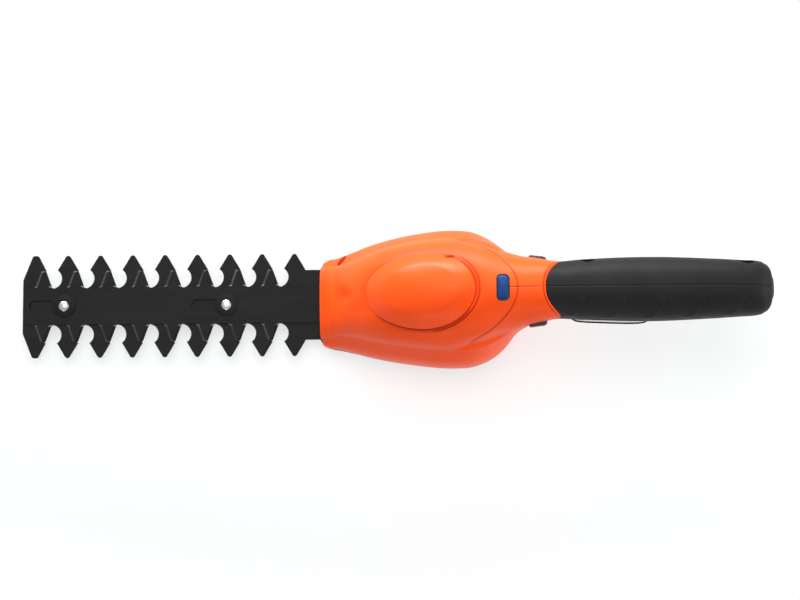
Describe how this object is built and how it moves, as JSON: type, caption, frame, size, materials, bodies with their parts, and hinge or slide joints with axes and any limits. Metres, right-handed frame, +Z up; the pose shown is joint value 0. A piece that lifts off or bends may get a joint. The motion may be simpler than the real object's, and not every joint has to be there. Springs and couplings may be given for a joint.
{
  "type": "cordless grass shears",
  "caption": "Hand-held cordless shears: double-sided comb blade with a sliding cutter, domed head with motor and gear train, soft grip with trigger and buttons.",
  "frame": {"origin": "on the flat underside of the sole, straight below the drive axle", "axes": "+Z up, tool along X with the blade tip to -X and the grip to +X, +Y the right-hand side"},
  "size_m": [0.4361, 0.0812, 0.0975],
  "materials": {
    "blade_steel": "satin black coat, bright ground tooth edges",
    "washer_steel": "black",
    "bright_steel": "bright zinc",
    "spring_steel": "drawn wire",
    "motor_steel": "plated can",
    "bronze": "sintered",
    "nylon": "natural",
    "gearbox_alloy": "die cast",
    "black_plastic": "fine spark texture",
    "red_plastic": "plain",
    "blue_button": "fine dots",
    "orange_shell": "satin gloss",
    "orange_pad": "satin gloss",
    "grip_rubber": "soft touch",
    "cell_can": "shrink wrapped",
    "circuit_board": "solder resist",
    "lead_cover": "insulation",
    "label_white": "bare"
  },
  "bodies": {
    "body": {"guard_blade": "blade_steel", "rivet_washers": "washer_steel", "blade_rivets": "bright_steel", "guard_screws": "bright_steel", "sole_screws": "bright_steel", "idler_axle": "bright_steel", "gearbox_screws": "bright_steel", "motor_screws": "bright_steel", "shell_screws": "bright_steel", "trigger_pin": "bright_steel", "cell_tabs": "bright_steel", "trigger_spring": "spring_steel", "left_lock_spring": "spring_steel", "right_lock_spring": "spring_steel", "button_spring": "spring_steel", "motor_can": "motor_steel", "lower_bush": "bronze", "upper_bush": "bronze", "motor_terminals": "bronze", "gearbox_plate": "gearbox_alloy", "gearbox_housing": "gearbox_alloy", "sole_plate": "black_plastic", "motor_cap": "black_plastic", "micro_switch": "black_plastic", "button_bezel": "black_plastic", "cell_holder": "black_plastic", "charge_socket": "black_plastic", "left_shell": "orange_shell", "right_shell": "orange_shell", "top_pad": "orange_pad", "left_grip": "grip_rubber", "right_grip": "grip_rubber", "battery_cell": "cell_can", "control_board": "circuit_board", "button_board": "circuit_board", "motor_leads": "lead_cover", "label_plate": "label_white"},
    "cutter": {"cutter_blade": "blade_steel"},
    "drive": {"crank_disc": "bright_steel", "crank_roller": "bronze", "drive_shaft": "bright_steel", "drive_gear": "nylon"},
    "idler": {"idler_gear": "nylon"},
    "rotor": {"motor_shaft": "bright_steel", "motor_pinion": "bronze"},
    "trigger": {"trigger": "black_plastic"},
    "plunger": {"switch_plunger": "red_plastic"},
    "left_lock": {"left_lock_button": "black_plastic"},
    "right_lock": {"right_lock_button": "black_plastic"},
    "button": {"top_button": "blue_button"}
  },
  "joints": [
    {"name": "drive_turn", "type": "hinge", "parent": "body", "child": "drive", "pos_m": [0, 0, 0.0272], "axis": [0, 0, 1], "range_deg": [0, 180]},
    {"name": "cutter_slide", "type": "slide", "parent": "body", "child": "cutter", "axis": [1, 0, 0], "range_m": [0, 0.00972]},
    {"name": "idler_turn", "type": "hinge", "parent": "body", "child": "idler", "pos_m": [0.0208, 0, 0.0272], "axis": [0, 0, 1], "range_deg": [-600.02, 0]},
    {"name": "rotor_turn", "type": "hinge", "parent": "body", "child": "rotor", "pos_m": [0.0376, 0, 0.033], "axis": [0, 0, 1], "range_deg": [0, 1800.05]},
    {"name": "trigger_pull", "type": "hinge", "parent": "body", "child": "trigger", "pos_m": [0.097, 0, 0.06], "axis": [0, -1, 0], "range_deg": [0, 8], "stiffness_Nm_per_rad": 1.6, "springref_deg": -3.44, "deforming": ["trigger_spring"]},
    {"name": "plunger_press", "type": "slide", "parent": "body", "child": "plunger", "axis": [0, 0, 1], "range_m": [0, 0.00112]},
    {"name": "left_lock_press", "type": "slide", "parent": "body", "child": "left_lock", "axis": [0, 1, 0], "range_m": [0, 0.003], "stiffness_N_per_m": 600, "springref_m": -0.001, "deforming": ["left_lock_spring"]},
    {"name": "right_lock_press", "type": "slide", "parent": "body", "child": "right_lock", "axis": [0, -1, 0], "range_m": [0, 0.003], "stiffness_N_per_m": 600, "springref_m": -0.001, "deforming": ["right_lock_spring"]},
    {"name": "button_press", "type": "slide", "parent": "body", "child": "button", "axis": [0, 0, -1], "range_m": [0, 0.0018], "stiffness_N_per_m": 800, "springref_m": -0.001, "deforming": ["button_spring"]}
  ],
  "couplings": [
    {"joint": "drive_turn", "follows": "cutter_slide", "rad_per_m": 323.21},
    {"joint": "idler_turn", "follows": "cutter_slide", "rad_per_m": -1077.4},
    {"joint": "rotor_turn", "follows": "cutter_slide", "rad_per_m": 3232.1},
    {"joint": "plunger_press", "follows": "trigger_pull", "m_per_rad": 0.008}
  ]
}
